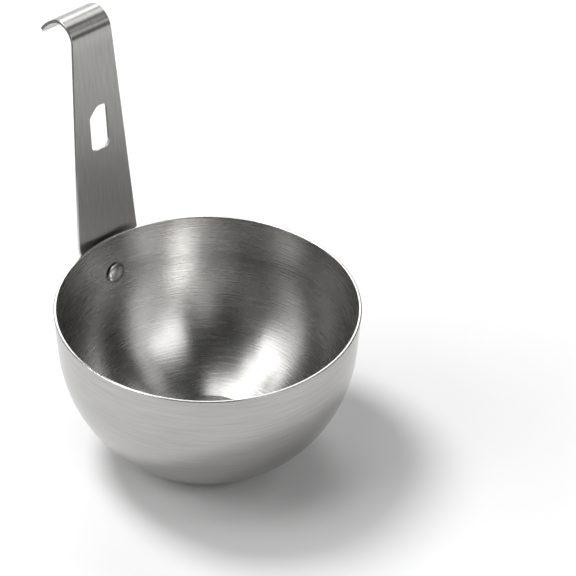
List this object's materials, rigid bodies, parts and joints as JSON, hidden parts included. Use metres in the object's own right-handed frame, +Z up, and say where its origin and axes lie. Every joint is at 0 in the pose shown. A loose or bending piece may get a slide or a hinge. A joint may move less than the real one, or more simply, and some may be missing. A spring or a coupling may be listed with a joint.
{
  "type": "egg poacher cup",
  "caption": "Deep round steel cup with a flat base and a riveted upright strap handle that ends in a hook for a pan's rim, for poaching an egg.",
  "frame": {"origin": "centre of the underside of the flat base", "axes": "+Z up along the cup's axis, +Y towards the handle"},
  "size_m": [0.085, 0.1063, 0.116],
  "materials": {
    "cup_steel": "satin stainless steel with fine rings from spinning",
    "strap_steel": "satin stainless steel brushed along the strap",
    "rivet_steel": "smooth bright stainless steel"
  },
  "bodies": {
    "root": {"cup": "cup_steel", "handle": "strap_steel", "rivet": "rivet_steel"}
  },
  "joints": []
}
